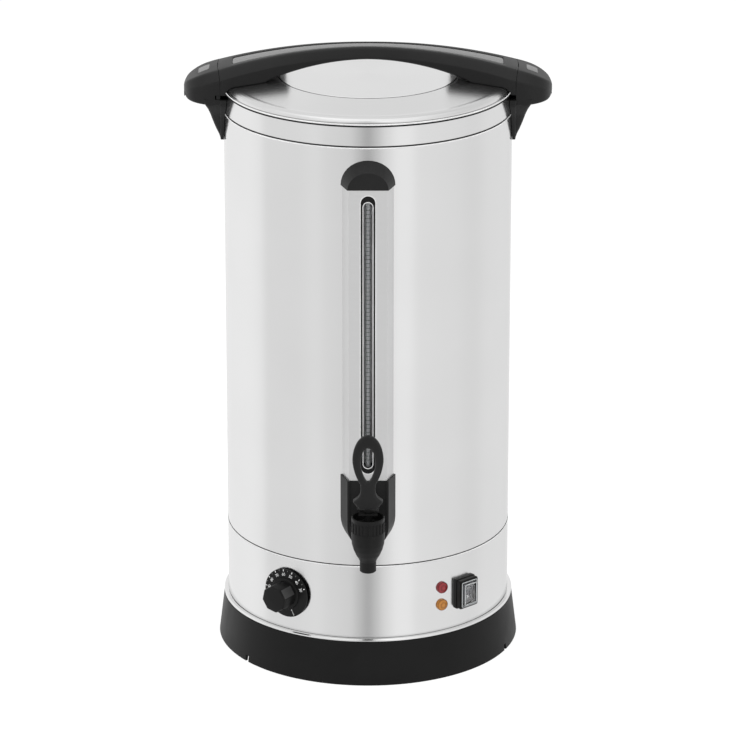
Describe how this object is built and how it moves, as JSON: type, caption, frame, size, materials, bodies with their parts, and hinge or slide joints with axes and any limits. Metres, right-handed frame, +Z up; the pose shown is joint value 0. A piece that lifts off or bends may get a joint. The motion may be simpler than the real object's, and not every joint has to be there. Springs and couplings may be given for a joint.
{
  "type": "hot water urn",
  "caption": "Stainless steel hot water urn with a black base, a twist-lock lid with an arch handle, a sight gauge, a self-closing tap and a thermostat knob",
  "frame": {"origin": "centre of the base, on the plane the feet stand on", "axes": "+Z up, the tap and the sight gauge towards -Y, the two side handles along X"},
  "size_m": [0.3694, 0.371, 0.6311],
  "materials": {
    "brushed_steel": "fine horizontal brushing, satin",
    "bright_steel": "bright drawn stainless steel",
    "plain_steel": "plain bright steel",
    "black_plastic": "black moulded plastic with a soft sheen",
    "grey_inlay": "light grey moulded plastic",
    "foot_rubber": "black rubber",
    "silicone": "pale silicone",
    "brass": "machined brass",
    "ceramic": "pale moulded insulator",
    "gauge_glass": "clear glass",
    "scale_white": "white strip with dark graduations",
    "heater_aluminium": "cast aluminium",
    "heater_sheath": "heat-darkened steel sheath",
    "red_lens": "clear red plastic",
    "amber_lens": "clear amber plastic",
    "clear_cover": "clear soft plastic",
    "rocker_plastic": "dark grey plastic"
  },
  "bodies": {
    "urn": {"base_skirt": "black_plastic", "base_plate": "plain_steel", "feet": "foot_rubber", "base_screws": "plain_steel", "base_ring": "bright_steel", "housing_shell": "brushed_steel", "outer_shell": "brushed_steel", "tank": "brushed_steel", "heater_plate": "heater_aluminium", "heater_tube": "heater_sheath", "boil_dry_cutout": "black_plastic", "thermostat_body": "ceramic", "thermostat_screws": "plain_steel", "thermostat_probe": "brass", "pilot_lamp_red": "red_lens", "pilot_lamp_amber": "amber_lens", "lamp_nuts": "black_plastic", "switch_body": "black_plastic", "switch_bezel": "black_plastic", "switch_cover": "clear_cover", "terminal_block": "ceramic", "cord_gland": "black_plastic", "gauge_column": "bright_steel", "gauge_cap_top": "black_plastic", "gauge_cap_bottom": "black_plastic", "gauge_frame": "black_plastic", "gauge_trim": "bright_steel", "gauge_tube": "gauge_glass", "gauge_scale": "scale_white", "gauge_elbow_top": "brass", "gauge_elbow_bottom": "brass", "gauge_nuts": "brass", "side_handle_left": "black_plastic", "side_handle_right": "black_plastic", "side_handle_inlays": "grey_inlay", "side_handle_screws": "plain_steel", "tap_body": "black_plastic", "tap_bonnet": "black_plastic", "tap_washers": "silicone", "tap_nut": "brass"},
    "lid_seal": {"lid_seal": "silicone"},
    "lid": {"lid_shell": "brushed_steel", "lid_pan": "plain_steel", "arch_handle": "black_plastic", "arch_inlay": "grey_inlay", "arch_screws": "plain_steel"},
    "tap_stem": {"tap_stem": "plain_steel", "tap_seat_cup": "silicone", "tap_spring": "plain_steel"},
    "tap_lever": {"tap_lever": "black_plastic", "tap_pin": "plain_steel"},
    "knob": {"knob": "black_plastic", "thermostat_shaft": "plain_steel"},
    "rocker": {"rocker": "rocker_plastic"}
  },
  "joints": [
    {"name": "lid_turn", "type": "hinge", "parent": "urn", "child": "lid_seal", "pos_m": [0, 0, 0.5872], "axis": [0, 0, 1], "range_deg": [0, 30]},
    {"name": "lid_lift", "type": "slide", "parent": "lid_seal", "child": "lid", "axis": [0, 0, 1], "range_m": [0, 0.3]},
    {"name": "tap_stem_lift", "type": "slide", "parent": "urn", "child": "tap_stem", "axis": [0, 0, 1], "range_m": [0, 0.0028], "deforming": ["tap_spring"]},
    {"name": "tap_lever_tilt", "type": "hinge", "parent": "tap_stem", "child": "tap_lever", "pos_m": [0, -0.19, 0.209], "axis": [1, 0, 0], "range_deg": [0, 40], "stiffness_Nm_per_rad": 0.02, "springref_deg": -68.75},
    {"name": "knob_turn", "type": "hinge", "parent": "urn", "child": "knob", "pos_m": [-0.0815, -0.11993, 0.0886], "axis": [-0.5621, -0.8271, 0], "range_deg": [-132, 156]},
    {"name": "rocker_tilt", "type": "hinge", "parent": "urn", "child": "rocker", "pos_m": [0.09811, -0.10744, 0.0845], "axis": [-0.7385, -0.6743, 0], "range_deg": [0, 16]}
  ],
  "couplings": [
    {"joint": "tap_stem_lift", "follows": "tap_lever_tilt", "m_per_rad": 0.004}
  ]
}
